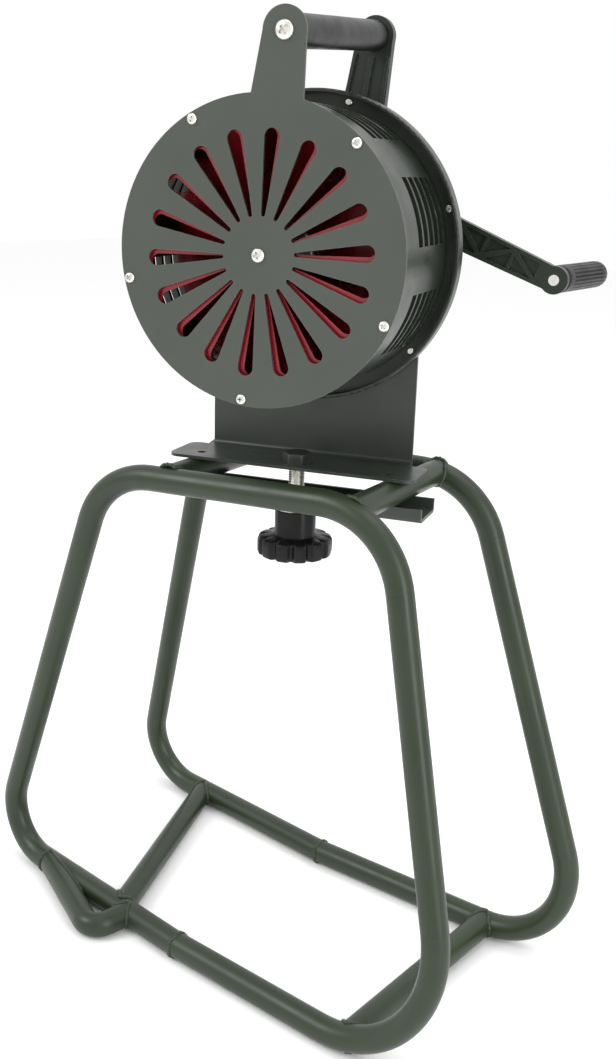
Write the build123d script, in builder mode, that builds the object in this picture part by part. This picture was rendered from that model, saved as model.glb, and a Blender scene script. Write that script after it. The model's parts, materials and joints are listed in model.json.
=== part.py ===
from build123d import *
from math import sin, cos, tan, radians, degrees, pi, sqrt, atan2, acos, hypot
import os

os.makedirs("parts", exist_ok=True)

# ---------------------------------------------------------------- driving dimensions (mm)
OX, OY = 7.105, -51.212      # shift that puts the origin under the middle of the whole object
TUBE_R = 11.0                # stand tube, 22 mm outside
TUBE_IN = 9.4                # 1.6 mm wall
TWIST = 8.7                  # the welded top is turned by this much from the feet
TOP_Y = 79.4                 # half the distance between the top tubes
TOP_X = 137.5                # half the length of the top tubes, corner to corner
TOP_Z = 426.0                # centre height of the top cross tubes
NEAR_BENDS = [95.0, 78.0, 75.0, 46.0]   # bend radii, bottom right, top right, top left, bottom left
FAR_BENDS = [73.0, 75.0, 75.0, 50.0]
YAW = 18.4                   # the siren is clamped turned by this much on the stand
ROLL = 6.3                   # the siren body is turned by this much on its bracket
AX, AZ = 13.74, 612.8        # siren axis, in the turned frame

COVER_Y = -105.0             # front face of the front cover
COVER_T = 2.0
COVER_R = 112.6
EAR_V = 154.0                # height of the carrying grip above the siren axis, at the front
REAR_U, REAR_V = 3.0, 170.0  # the same at the rear ear
DRUM_R, DRUM_RI = 110.6, 105.2
DRUM_BACK = 16.0
RIM_R = 123.0
BACK_Y = 19.0                # rear face of the back cover
SHEET = 2.5                  # bracket sheet
FLANGE_Z = 437.3             # underside of the bracket flange
BOLT_X, BOLT_Y = 16.0, -19.0  # clamp bolt axis, in the turned frame
BOLT_R = 6.9
CRANK_V = 50.0               # crank axis above the siren axis
BIG_T, SMALL_T, MOD = 60, 15, 1.0
ARM_TIP = (184.0, -1.5)      # grip pin, on the siren plane
GRIP_SPLAY = 14.0

sg, cg = sin(radians(YAW)), cos(radians(YAW))
EX = Vector(cg, sg, 0)
EY = Vector(-sg, cg, 0)
EZ = Vector(0, 0, 1)
sr, cr = sin(radians(ROLL)), cos(radians(ROLL))
EU = EX * cr - EZ * sr       # to the right on the siren, seen from the front
EV = EX * sr + EZ * cr       # up on the siren


def W(x, y, z):
    return Vector(x + OX, y + OY, z)


def H(x, y, z):
    """A point given in the turned frame of the siren head."""
    p = EX * x + EY * y
    return Vector(p.X + OX, p.Y + OY, z)


def S(u, v, y):
    """A point given on the siren: right, up, and depth."""
    return H(AX, y, AZ) + EU * u + EV * v


def face(y, u=0.0, v=0.0):
    """Plane across the siren at depth y; extruding it comes forward."""
    return Plane(origin=S(u, v, y), x_dir=EU, z_dir=-EY)


def flat(y, x=AX, z=AZ):
    """The same for the bracket, which isn't rolled."""
    return Plane(origin=H(x, y, z), x_dir=EX, z_dir=-EY)


def level(z, x=0.0, y=0.0):
    """Horizontal plane in the turned frame of the siren head."""
    return Plane(origin=H(x, y, z), x_dir=EX, z_dir=EZ)


def out(builder, name):
    builder.part.label = name
    export_step(builder.part, f"parts/{name}.step")


# ---------------------------------------------------------------- stand
tw, ct = sin(radians(TWIST)), cos(radians(TWIST))


def T(x, y, z):
    return W(x * ct - y * tw, x * tw + y * ct, z)


N_WELD, F_WELD = W(-13.4, -119.7, TUBE_R), W(-13.4, 85.0, TUBE_R)
N_BR, N_BL = W(274.6, -120.0, TUBE_R), W(-281.3, -102.0, TUBE_R)
F_BR, F_BL = W(279.6, 96.9, TUBE_R), W(-281.2, 102.6, TUBE_R)
N_TL, N_TR = T(-135.5, -TOP_Y, 421.0), T(139.5, -TOP_Y, 431.0)
F_TL, F_TR = T(-138.5, TOP_Y, TOP_Z), T(143.0, TOP_Y, TOP_Z)


def bent(points, radii):
    """Straight runs joined by tangent arcs, as a list of edges."""
    edges, at = [], points[0]
    for i in range(1, len(points) - 1):
        a, b, c = points[i - 1], points[i], points[i + 1]
        u, v = (a - b).normalized(), (c - b).normalized()
        half = acos(max(-1, min(1, u.dot(v)))) / 2
        r = radii[i - 1]
        t = r / tan(half)
        p0, p1 = b + u * t, b + v * t
        mid = b + (u + v).normalized() * (r / sin(half) - r)
        edges.append(("line", at, p0))
        edges.append(("arc", p0, mid, p1))
        at = p1
    edges.append(("line", at, points[-1]))
    return edges


def lay(edges):
    for e in edges:
        if e[0] == "line":
            Line(e[1], e[2])
        else:
            ThreePointArc(e[1], e[2], e[3])


def hollow_loop(edges):
    """A loop of bent tube, made run by run; the runs meet end to end at the tangent points."""
    for e in edges:
        with BuildLine(mode=Mode.PRIVATE) as run:
            lay([e])
        ed = run.edges()[0]
        cutback = 0.05 / ed.length
        ed = ed.trim(cutback, 1 - cutback)
        with BuildSketch(Plane(origin=ed @ 0, z_dir=ed % 0), mode=Mode.PRIVATE) as ring:
            Circle(TUBE_R)
            Circle(TUBE_IN, mode=Mode.SUBTRACT)
        sweep(sections=ring.sketch.faces()[0], path=ed)


def loop_path(weld, br, tr, tl, bl, radii):
    """The loop starts and ends at the butt joint in its bottom run."""
    gap = (br - weld).normalized() * 0.6
    back = (bl - weld).normalized() * 0.6
    return bent([weld + gap, br, tr, tl, bl, weld + back], radii)


n_edges = loop_path(N_WELD, N_BR, N_TR, N_TL, N_BL, NEAR_BENDS)
f_edges = loop_path(F_WELD, F_BR, F_TR, F_TL, F_BL, FAR_BENDS)

with BuildPart() as near_frame:
    hollow_loop(n_edges)
out(near_frame, "near_frame")

with BuildPart() as far_frame:
    hollow_loop(f_edges)
out(far_frame, "far_frame")


def on_line(a, b, x):
    """The point of the line a-b at this x."""
    s = (x - a.X) / (b.X - a.X)
    return a + (b - a) * s


# the cross tubes are coped at both ends to sit on the loops
COPE = TUBE_R + 0.04
crosses = {
    "top_cross_left": (T(-66.0, -TOP_Y, TOP_Z), T(-66.0, TOP_Y, TOP_Z)),
    "top_cross_right": (T(105.0, -TOP_Y, TOP_Z), T(105.0, TOP_Y, TOP_Z)),
    "bottom_cross_left": (on_line(N_BL, N_WELD, -92.0 + OX), on_line(F_BL, F_WELD, -188.0 + OX)),
    "bottom_cross_right": (on_line(N_WELD, N_BR, 175.0 + OX) + EZ * 3.5, on_line(F_WELD, F_BR, 175.0 + OX) + EZ * 0.5),
}


def cope_tool(edges):
    """The outside of a loop, a hair larger, to cut the saddles with."""
    with BuildPart() as tool:
        with BuildLine() as path:
            lay(edges)
        with BuildSketch(Plane(origin=path.wires()[0] @ 0, z_dir=path.wires()[0] % 0)):
            Circle(COPE)
        sweep(path=path.wires()[0])
    return tool.part


near_cope, far_cope = cope_tool(n_edges), cope_tool(f_edges)

for name, (p, q) in crosses.items():
    with BuildPart() as cross:
        with BuildSketch(Plane(origin=p, z_dir=q - p)):
            Circle(TUBE_R)
            Circle(TUBE_IN, mode=Mode.SUBTRACT)
        extrude(amount=(q - p).length)
        add(near_cope, mode=Mode.SUBTRACT)
        add(far_cope, mode=Mode.SUBTRACT)
        keep = cross.part.solids().sort_by(SortBy.VOLUME)[-1]
    with BuildPart() as kept:
        add(keep)
    out(kept, name)

# step loop: a sharply bent tube in front of the near frame
FOOT_A = on_line(N_BL, N_WELD, -203.0 + OX)
FOOT_B = on_line(N_BL, N_WELD, -81.0 + OX)
FOOT_V = W(-87.0, -156.0, TUBE_R)
with BuildPart() as foot_loop:
    hollow_loop(bent([FOOT_A, FOOT_V, FOOT_B], [14.0]))
    add(near_cope, mode=Mode.SUBTRACT)
out(foot_loop, "foot_loop")

# ---------------------------------------------------------------- bracket and clamp
FL_TOP = FLANGE_Z + SHEET
PLATE_HALF = 91.0
PLATE_TOP = 578.0
BEND_R = 3.0
with BuildPart() as bracket:
    # L profile: upright plate behind the siren, flange running forward
    with BuildSketch(Plane(origin=H(AX - PLATE_HALF, 0, 0), x_dir=EY, z_dir=EX)) as prof:
        with BuildLine():
            Polyline(
                (BACK_Y, PLATE_TOP),
                (BACK_Y, FL_TOP),
                (-20.0, FL_TOP),
                (-20.0, FLANGE_Z),
                (BACK_Y + SHEET, FLANGE_Z),
                (BACK_Y + SHEET, PLATE_TOP),
                close=True,
            )
        make_face()
        fillet(prof.vertices().sort_by_distance((BACK_Y, FL_TOP, 0))[0], BEND_R)
        fillet(prof.vertices().sort_by_distance((BACK_Y + SHEET, FLANGE_Z, 0))[0], BEND_R + SHEET)
    extrude(amount=2 * PLATE_HALF)
    # flange, wider than the plate, with rounded corners
    with BuildSketch(level(FLANGE_Z, AX, 0)):
        with Locations((0, (-38.0 + 12.0) / 2)):
            RectangleRounded(217.0, 50.0, 9.0)
    extrude(amount=SHEET)
    with BuildSketch(level(FLANGE_Z - 1)):
        with Locations((BOLT_X, BOLT_Y)):
            Circle(BOLT_R + 0.35)
        with Locations((AX - 84.0, -22.0), (AX + 84.0, -22.0)):
            Circle(3.6)
    extrude(amount=SHEET + 2, mode=Mode.SUBTRACT)
    # four bolt holes to the back cover, and two rounded top corners
    with BuildSketch(flat(BACK_Y + SHEET + 1)):
        with Locations((-58, -50), (58, -50), (-30, -84), (30, -84)):
            Circle(3.3)
    extrude(amount=SHEET + 2, mode=Mode.SUBTRACT)
    fillet(bracket.edges().filter_by(Axis((0, 0, 0), EY)).group_by(Axis.Z)[-1], 12.0)
out(bracket, "mounting_bracket")

with BuildPart() as bolt:
    with BuildSketch(level(FL_TOP + 0.02, BOLT_X, BOLT_Y)):
        RegularPolygon(21.0 / 2, 6, major_radius=False, rotation=12)
    extrude(amount=9.0)
    chamfer(bolt.faces().sort_by(Axis.Z)[-1].edges(), 0.9)
    with BuildSketch(level(366.0, BOLT_X, BOLT_Y)):
        Circle(BOLT_R)
    extrude(amount=FL_TOP - 366.0 + 2.0)
    chamfer(bolt.faces().sort_by(Axis.Z)[0].edges(), 1.0)
out(bolt, "clamp_bolt")

CH_TOP = TOP_Z - TUBE_R - 0.3
CH_H = 11.6
CH_Y0, CH_Y1 = -30.0, 12.0
with BuildPart() as channel:
    with BuildSketch(level(CH_TOP - CH_H)):
        with Locations((8.0, (CH_Y0 + CH_Y1) / 2)):
            Rectangle(240.0, CH_Y1 - CH_Y0)
    extrude(amount=CH_H)
    fillet(channel.edges().filter_by(Axis((0, 0, 0), EX)).group_by(Axis.Z)[0], 3.5)
    with BuildSketch(level(CH_TOP - CH_H + 3.0)):
        with Locations((8.0, (CH_Y0 + CH_Y1) / 2)):
            Rectangle(244.0, CH_Y1 - CH_Y0 - 6.0)
    extrude(amount=CH_H, mode=Mode.SUBTRACT)
    with BuildSketch(level(CH_TOP - CH_H - 1)):
        with Locations((BOLT_X, BOLT_Y)):
            Circle(BOLT_R + 0.35)
    extrude(amount=10, mode=Mode.SUBTRACT)
out(channel, "clamp_channel")

WASH_Z = CH_TOP - CH_H - 2.6
with BuildPart() as washer:
    with BuildSketch(level(WASH_Z, BOLT_X, BOLT_Y)):
        Circle(18.9)
        Circle(BOLT_R + 0.3, mode=Mode.SUBTRACT)
    extrude(amount=2.6)
    chamfer(washer.edges().filter_by(GeomType.CIRCLE).sort_by(SortBy.RADIUS)[-2:], 0.5)
out(washer, "clamp_washer")

KNOB_TOP = WASH_Z - 0.02
with BuildPart() as knob:
    with BuildSketch(level(KNOB_TOP - 25.0, BOLT_X, BOLT_Y)):
        Circle(17.4)
    extrude(amount=25.0)
    with BuildSketch(level(KNOB_TOP - 41.0, BOLT_X, BOLT_Y)) as star:
        Circle(31.9)
        with PolarLocations(34.3, 12):
            Circle(5.4, mode=Mode.SUBTRACT)
        fillet(star.vertices(), 2.0)
    extrude(amount=17.5)
    with BuildSketch(level(KNOB_TOP - 37.0, BOLT_X, BOLT_Y)):
        Circle(BOLT_R + 0.06)
    extrude(amount=45.0, mode=Mode.SUBTRACT)
out(knob, "clamp_knob")

# ---------------------------------------------------------------- front cover and drum
SLOT_N = 18


SCREW_R = 107.9
SCREW_START = 90 - 36
drop = Sketch() + make_hull(
    ShapeList([*(Pos(83.3, 0) * Circle(6.2)).edges(), *(Pos(29.4, 0) * Circle(1.6)).edges()])
)

with BuildPart() as front_cover:
    with BuildSketch(face(COVER_Y + COVER_T)) as fc:
        with BuildLine():
            Polyline((-21.0, 100.0), (21.0, 100.0), (16.4, EAR_V), (-16.4, EAR_V), close=True)
        make_face()
        with Locations((0, EAR_V)):
            Circle(16.6)
        Circle(COVER_R)
        with PolarLocations(0, SLOT_N, start_angle=90):
            add(drop, mode=Mode.SUBTRACT)
        Circle(3.1, mode=Mode.SUBTRACT)
        with Locations((0, EAR_V)):
            Circle(4.1, mode=Mode.SUBTRACT)
        with PolarLocations(SCREW_R, 5, start_angle=SCREW_START):
            Circle(1.9, mode=Mode.SUBTRACT)
    extrude(amount=COVER_T)
out(front_cover, "front_cover")


def pan_screws(name, spots, head_r, head_h, shank_r, length, y_seat):
    """Domed screws whose heads sit on the plane at depth y_seat."""
    with BuildPart() as scr:
        with BuildSketch(face(y_seat)):
            with Locations(*spots):
                Circle(head_r)
        extrude(amount=head_h)
        fillet(scr.edges().filter_by(GeomType.CIRCLE).group_by(Axis((0, 0, 0), EY))[0], head_h * 0.55)
        with BuildSketch(face(y_seat + length)):
            with Locations(*spots):
                Circle(shank_r)
        extrude(amount=length)
    out(scr, name)
    return scr


five = [(SCREW_R * cos(radians(SCREW_START + 72 * k)), SCREW_R * sin(radians(SCREW_START + 72 * k))) for k in range(5)]
cover_screws = pan_screws("cover_screws", five, 4.0, 2.2, 1.65, 14.0, COVER_Y)
centre_screw = pan_screws("centre_screw", [(0, 0)], 5.3, 2.8, 2.95, 5.5, COVER_Y)
ear_screw = pan_screws("ear_screw", [(0, EAR_V)], 6.9, 3.2, 3.9, 16.0, COVER_Y)

SEAT_F = COVER_Y + COVER_T
with BuildPart() as seat:
    with BuildSketch(face(SEAT_F + 14.0)):
        Circle(14.0)
    extrude(amount=14.0)
    with BuildSketch(face(SEAT_F + 15.0)):
        Circle(11.0)
    extrude(amount=10.0, mode=Mode.SUBTRACT)
    with BuildSketch(face(SEAT_F + 15.0)):
        Circle(3.0)
    extrude(amount=16.0, mode=Mode.SUBTRACT)
out(seat, "front_bearing_seat")

SHAFT_R = 4.0


def bearing(name, y_back, width=7.0, r_out=11.0):
    with BuildPart() as brg:
        with BuildSketch(face(y_back)):
            Circle(r_out)
            Circle(SHAFT_R + 0.03, mode=Mode.SUBTRACT)
        extrude(amount=width)
        with BuildSketch(face(y_back)):
            Circle(8.8)
            Circle(6.6, mode=Mode.SUBTRACT)
        extrude(amount=0.6, mode=Mode.SUBTRACT)
        with BuildSketch(face(y_back - width + 0.6)):
            Circle(8.8)
            Circle(6.6, mode=Mode.SUBTRACT)
        extrude(amount=0.6, mode=Mode.SUBTRACT)
    out(brg, name)


bearing("front_bearing", SEAT_F + 13.0)

SLOT_HALF = radians(13.5)
wedge = make_face(
    Polyline(
        (98 * cos(SLOT_HALF), -98 * sin(SLOT_HALF)),
        (118 * cos(SLOT_HALF), -118 * sin(SLOT_HALF)),
        (121.5, 0),
        (118 * cos(SLOT_HALF), 118 * sin(SLOT_HALF)),
        (98 * cos(SLOT_HALF), 98 * sin(SLOT_HALF)),
        close=True,
    ).edges()
)
with BuildPart() as drum:
    with BuildSketch(face(DRUM_BACK)):
        Circle(DRUM_R)
        Circle(DRUM_RI, mode=Mode.SUBTRACT)
    extrude(amount=DRUM_BACK - SEAT_F)
    # sound slots: eight groups of five
    for k in range(5):
        with BuildSketch(face(-54.4 + 15.0 * k)):
            with PolarLocations(0, 8, start_angle=90 - 20.5):
                add(wedge)
        extrude(amount=11.2, mode=Mode.SUBTRACT)
    # threaded holes for the cover screws
    with BuildSketch(face(SEAT_F + 14.0)):
        with PolarLocations(SCREW_R, 5, start_angle=SCREW_START):
            Circle(1.7)
    extrude(amount=15.0, mode=Mode.SUBTRACT)
out(drum, "drum")

with BuildPart() as back_cover:
    with BuildSketch(face(BACK_Y)):
        Circle(RIM_R)
    extrude(amount=BACK_Y - DRUM_BACK)
    with BuildSketch(face(DRUM_BACK)):
        Circle(RIM_R)
        Circle(RIM_R - 2.6, mode=Mode.SUBTRACT)
    extrude(amount=10.0)
    fillet(back_cover.edges().filter_by(GeomType.CIRCLE).sort_by(SortBy.RADIUS)[-2:], 1.2)
    # spigot that centres the drum
    with BuildSketch(face(DRUM_BACK)):
        Circle(DRUM_RI - 0.1)
        Circle(DRUM_RI - 3.0, mode=Mode.SUBTRACT)
    extrude(amount=5.0)
    with BuildSketch(face(BACK_Y + 1)):
        Circle(11.5)
        with PolarLocations(115.6, 6, start_angle=90 - 6):
            Circle(1.6)
    extrude(amount=6.0, mode=Mode.SUBTRACT)
    with BuildSketch(flat(BACK_Y + 1)):
        with Locations((-58, -50), (58, -50), (-30, -84), (30, -84)):
            Circle(3.3)
    extrude(amount=6.0, mode=Mode.SUBTRACT)
out(back_cover, "back_cover")

six = [(115.6 * cos(radians(84 + 60 * k)), 115.6 * sin(radians(84 + 60 * k))) for k in range(6)]
rim_screws = pan_screws("rim_screws", six, 2.9, 1.8, 1.5, 3.0, DRUM_BACK)

# bracket bolts: hex heads at the back, nuts inside the drum
spots4 = [(-58, -50), (58, -50), (-30, -84), (30, -84)]
with BuildPart() as bracket_bolts:
    with BuildSketch(flat(BACK_Y + SHEET + 4.0)):
        with Locations(*spots4):
            RegularPolygon(5.0, 6, major_radius=False)
    extrude(amount=4.0)
    with BuildSketch(flat(BACK_Y + SHEET)):
        with Locations(*spots4):
            Circle(3.0)
    extrude(amount=14.0)
out(bracket_bolts, "bracket_bolts")
with BuildPart() as bracket_nuts:
    with BuildSketch(flat(DRUM_BACK)):
        with Locations(*spots4):
            RegularPolygon(5.0, 6, major_radius=False)
        with Locations(*spots4):
            Circle(3.02, mode=Mode.SUBTRACT)
    extrude(amount=5.0)
out(bracket_nuts, "bracket_nuts")

# ---------------------------------------------------------------- rotor
ROT_F = -100.6               # front face of the rotor's slotted plate
ROT_R = 101.5
ROT_TURN = 2.5
VANE_BACK = -33.0
with BuildPart() as rotor_plate:
    with BuildSketch(face(ROT_F + 1.5)):
        Circle(ROT_R)
        Circle(17.0, mode=Mode.SUBTRACT)
        with PolarLocations(0, SLOT_N, start_angle=90 + ROT_TURN):
            add(drop, mode=Mode.SUBTRACT)
    extrude(amount=1.5)
out(rotor_plate, "rotor_plate")

with BuildPart() as rotor_vanes:
    with BuildSketch(face(VANE_BACK)):
        with PolarLocations(0, SLOT_N, start_angle=90 + ROT_TURN + 10):
            with Locations((62.0, 0)):
                Rectangle(76.0, 1.6)
    extrude(amount=VANE_BACK - (ROT_F + 1.5))
out(rotor_vanes, "rotor_vanes")

with BuildPart() as rotor_disc:
    with BuildSketch(face(VANE_BACK + 2.0)):
        Circle(ROT_R)
        Circle(10.0, mode=Mode.SUBTRACT)
    extrude(amount=2.0)
out(rotor_disc, "rotor_disc")

with BuildPart() as rotor_hub:
    with BuildSketch(face(VANE_BACK)):
        Circle(20.0)
    extrude(amount=10.0)
    fillet(rotor_hub.edges().filter_by(GeomType.CIRCLE).sort_by(Axis((0, 0, 0), EY))[0], 3.0)
    with BuildSketch(face(VANE_BACK + 14.0)):
        Circle(9.98)
    extrude(amount=14.0)
    with BuildSketch(face(VANE_BACK + 20.0)):
        Circle(SHAFT_R)
    extrude(amount=40.0, mode=Mode.SUBTRACT)
out(rotor_hub, "rotor_hub")

with BuildPart() as rotor_shaft:
    with BuildSketch(face(52.0)):
        Circle(SHAFT_R)
    extrude(amount=52.0 - (SEAT_F + 6.0))
    chamfer(rotor_shaft.edges().filter_by(GeomType.CIRCLE), 0.5)
out(rotor_shaft, "rotor_shaft")

# ---------------------------------------------------------------- gears
PHI = radians(20)
BACKLASH = 0.16


def gear_points(z, turn):
    """Outline of a spur gear, module MOD, 20 degree teeth, one tooth centred on the angle turn (degrees)."""
    rp = MOD * z / 2
    rb = rp * cos(PHI)
    ra = rp + 0.92 * MOD
    rf = rp - 1.28 * MOD
    inv = lambda r: sqrt((r / rb) ** 2 - 1) - acos(rb / r)
    half = pi / (2 * z) - BACKLASH / (2 * rp) + inv(rp)
    start = max(rb, rf + 0.02)
    rs = [start + (ra - start) * k / 4 for k in range(5)]
    flank = [(r, half - inv(r)) for r in rs]
    pts = []
    for k in range(z):
        c = radians(turn) + 2 * pi * k / z
        root = flank[0][1]
        if rf < start - 0.05:
            pts.append((rf * cos(c - root), rf * sin(c - root)))
        for r, a in flank:
            pts.append((r * cos(c - a), r * sin(c - a)))
        for r, a in reversed(flank):
            pts.append((r * cos(c + a), r * sin(c + a)))
        if rf < start - 0.05:
            pts.append((rf * cos(c + root), rf * sin(c + root)))
    return pts


CEN = MOD * (BIG_T + SMALL_T) / 2
LAY_V = CRANK_V / 2
LAY_U = -sqrt(CEN**2 - LAY_V**2)
# direction from the layshaft to the crank axis and to the rotor axis
A1 = degrees(atan2(CRANK_V - LAY_V, -LAY_U))
A2 = degrees(atan2(-LAY_V, -LAY_U))


def gear(name, z, u, v, y_back, width, turn, bore, lighten=False):
    with BuildPart() as g:
        with BuildSketch(face(y_back, u, v)):
            with BuildLine():
                Polyline(*gear_points(z, turn), close=True)
            make_face()
            Circle(bore, mode=Mode.SUBTRACT)
            if lighten:
                with PolarLocations(17.5, 6):
                    Circle(5.0, mode=Mode.SUBTRACT)
        extrude(amount=width)
    out(g, name)


# big crank gear: a tooth points at the layshaft; the lay pinion has a gap there
gear("crank_gear", BIG_T, 0, CRANK_V, 68.0, 8.0, A1 + 180, 6.0, True)
gear("layshaft_pinion", SMALL_T, LAY_U, LAY_V, 69.0, 10.0, A1 + 180 / SMALL_T, SHAFT_R)
gear("layshaft_gear", BIG_T, LAY_U, LAY_V, 48.0, 8.0, A2, SHAFT_R, True)
gear("rotor_pinion", SMALL_T, 0, 0, 49.0, 10.0, A2 + 180 + 180 / SMALL_T, SHAFT_R)

with BuildPart() as layshaft:
    with BuildSketch(face(77.5, LAY_U, LAY_V)):
        Circle(SHAFT_R)
    extrude(amount=77.5 - 24.5)
    chamfer(layshaft.edges().filter_by(GeomType.CIRCLE), 0.4)
out(layshaft, "layshaft")

CRANK_R = 6.0
with BuildPart() as crank_shaft:
    with BuildSketch(face(115.0, 0, CRANK_V)):
        Circle(CRANK_R)
    extrude(amount=115.0 - 58.0)
    chamfer(crank_shaft.edges().filter_by(GeomType.CIRCLE), 0.5)
out(crank_shaft, "crank_shaft")

# ---------------------------------------------------------------- gearbox
GB_FLOOR = BACK_Y + 4.0
GB_BACK = 78.0
WALL = 4.0


def gb_outline(grow):
    return ShapeList(
        [
            *(Pos(0, 0) * Circle(20 + grow)).edges(),
            *(Pos(0, CRANK_V) * Circle(35 + grow)).edges(),
            *(Pos(LAY_U, LAY_V) * Circle(33.5 + grow)).edges(),
        ]
    )


gb_outer = make_hull(gb_outline(WALL))
gb_inner = make_hull(gb_outline(0))
gb_screw_spots = [(33, 76), (-30, 78), (-62, 48), (-46, -8), (0, -27.0), (33.5, 24)]
with BuildPart() as gearbox_housing:
    with BuildSketch(face(GB_BACK)):
        add(gb_outer)
        with Locations(*gb_screw_spots):
            Circle(5.0)
    extrude(amount=GB_BACK - BACK_Y)
    with BuildSketch(face(GB_BACK + 1)):
        add(gb_inner)
    extrude(amount=GB_BACK + 1 - GB_FLOOR, mode=Mode.SUBTRACT)
    # bosses for the rotor bearing and the layshaft bush
    with BuildSketch(face(GB_FLOOR + 6.0)):
        Circle(14.0)
        with Locations((LAY_U, LAY_V)):
            Circle(9.0)
    extrude(amount=6.5)
    with BuildSketch(face(GB_FLOOR + 7.0)):
        Circle(11.0)
    extrude(amount=9.0, mode=Mode.SUBTRACT)
    with BuildSketch(face(GB_FLOOR + 7.0)):
        Circle(6.0)
        with Locations((LAY_U, LAY_V)):
            Circle(6.0)
    extrude(amount=9.5, mode=Mode.SUBTRACT)
    with BuildSketch(face(GB_FLOOR + 3.0)):
        Circle(6.5)
    extrude(amount=12.0, mode=Mode.SUBTRACT)
    with BuildSketch(face(GB_BACK + 1)):
        with Locations(*gb_screw_spots):
            Circle(1.75)
    extrude(amount=13.0, mode=Mode.SUBTRACT)
out(gearbox_housing, "gearbox_housing")

bearing("rear_bearing", GB_FLOOR + 6.0, width=7.0)

with BuildPart() as lay_bushes:
    with BuildSketch(face(GB_FLOOR + 6.0, LAY_U, LAY_V)):
        Circle(6.0)
        Circle(SHAFT_R + 0.04, mode=Mode.SUBTRACT)
    extrude(amount=8.0)
    with BuildSketch(face(GB_BACK, LAY_U, LAY_V)):
        Circle(6.0)
        Circle(SHAFT_R + 0.04, mode=Mode.SUBTRACT)
    extrude(amount=7.0)
out(lay_bushes, "layshaft_bushes")

# gearbox cover with the rear ear of the carrying grip
COV_T = 6.0
EAR_BACK = 94.0
with BuildPart() as gearbox_cover:
    with BuildSketch(face(GB_BACK + COV_T)):
        add(gb_outer)
        with Locations(*gb_screw_spots):
            Circle(5.0)
    extrude(amount=COV_T)
    # crank boss and inner boss for the layshaft bush
    with BuildSketch(face(95.0, 0, CRANK_V)):
        Circle(15.0)
    extrude(amount=95.0 - GB_BACK - 1)
    with BuildSketch(face(GB_BACK + 1, LAY_U, LAY_V)):
        Circle(8.5)
    extrude(amount=8.0)
    # ear
    with BuildSketch(face(EAR_BACK - 2.0)):
        with BuildLine():
            Polyline((-21.0, 66.0), (21.0, 66.0), (REAR_U + 15.6, REAR_V), (REAR_U - 15.6, REAR_V), close=True)
        make_face()
        with Locations((REAR_U, REAR_V)):
            Circle(15.8)
    extrude(amount=8.0)
    with BuildSketch(face(EAR_BACK - 2.0)):
        with BuildLine():
            Polyline((-20.0, 60.0), (20.0, 60.0), (19.0, 88.0), (-19.0, 88.0), close=True)
        make_face()
    extrude(amount=12.0)
    # edge rims and a centre rib on the front and rear faces of the ear
    with BuildSketch(face(EAR_BACK - 9.0)):
        with BuildLine():
            Polyline((-2.6, 90.0), (2.6, 90.0), (REAR_U + 2.2, REAR_V - 16), (REAR_U - 2.2, REAR_V - 16), close=True)
        make_face()
        with BuildLine():
            Polyline((-19.2, 88.0), (-16.2, 88.0), (REAR_U - 13.0, REAR_V - 15), (REAR_U - 15.6, REAR_V - 15), close=True)
        make_face()
        with BuildLine():
            Polyline((19.2, 88.0), (16.2, 88.0), (REAR_U + 13.0, REAR_V - 15), (REAR_U + 15.6, REAR_V - 15), close=True)
        make_face()
    extrude(amount=3.2)
    with BuildSketch(face(110.0)):
        with Locations((0, CRANK_V)):
            Circle(9.0)
    extrude(amount=40.0, mode=Mode.SUBTRACT)
    with BuildSketch(face(GB_BACK)):
        with Locations((LAY_U, LAY_V)):
            Circle(6.0)
    extrude(amount=9.0, mode=Mode.SUBTRACT)
    with BuildSketch(face(110.0)):
        with Locations((REAR_U, REAR_V)):
            Circle(5.0)
        with Locations(*gb_screw_spots):
            Circle(2.1)
    extrude(amount=40.0, mode=Mode.SUBTRACT)
out(gearbox_cover, "gearbox_cover")

with BuildPart() as crank_bush:
    with BuildSketch(face(95.0, 0, CRANK_V)):
        Circle(9.0)
        Circle(CRANK_R + 0.04, mode=Mode.SUBTRACT)
    extrude(amount=95.0 - GB_BACK)
    with BuildSketch(face(96.2, 0, CRANK_V)):
        Circle(12.0)
        Circle(CRANK_R + 0.04, mode=Mode.SUBTRACT)
    extrude(amount=1.2)
out(crank_bush, "crank_bush")

with BuildPart() as gearbox_screws:
    with BuildSketch(face(GB_BACK + COV_T + 3.0)):
        with Locations(*gb_screw_spots):
            Circle(3.6)
    extrude(amount=3.0)
    fillet(gearbox_screws.edges().filter_by(GeomType.CIRCLE).group_by(Axis((0, 0, 0), EY))[-1], 1.2)
    with BuildSketch(face(GB_BACK + COV_T)):
        with Locations(*gb_screw_spots):
            Circle(1.72)
    extrude(amount=14.0)
out(gearbox_screws, "gearbox_screws")

# ---------------------------------------------------------------- carrying grip
GRIP_F, GRIP_B = COVER_Y + COVER_T, EAR_BACK - 10.0
grip_a, grip_b = S(0, EAR_V, GRIP_F), S(REAR_U, REAR_V, GRIP_B)
grip_dir = (grip_b - grip_a).normalized()
GRIP_LEN = (grip_b - grip_a).length


def along_grip(d):
    """Plane across the carrying grip, d behind the front ear; extruding it comes forward."""
    return Plane(origin=grip_a + grip_dir * d, x_dir=EU, z_dir=-grip_dir)


with BuildPart() as carry_grip:
    with BuildSketch(along_grip(GRIP_LEN - 1.3)):
        Circle(12.0)
    extrude(amount=GRIP_LEN - 2.6)
    fillet(carry_grip.edges().filter_by(GeomType.CIRCLE), 1.6)
    with BuildSketch(along_grip(GRIP_LEN + 1)):
        Circle(5.8)
    extrude(amount=GRIP_LEN + 2, mode=Mode.SUBTRACT)
out(carry_grip, "carry_grip")

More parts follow.
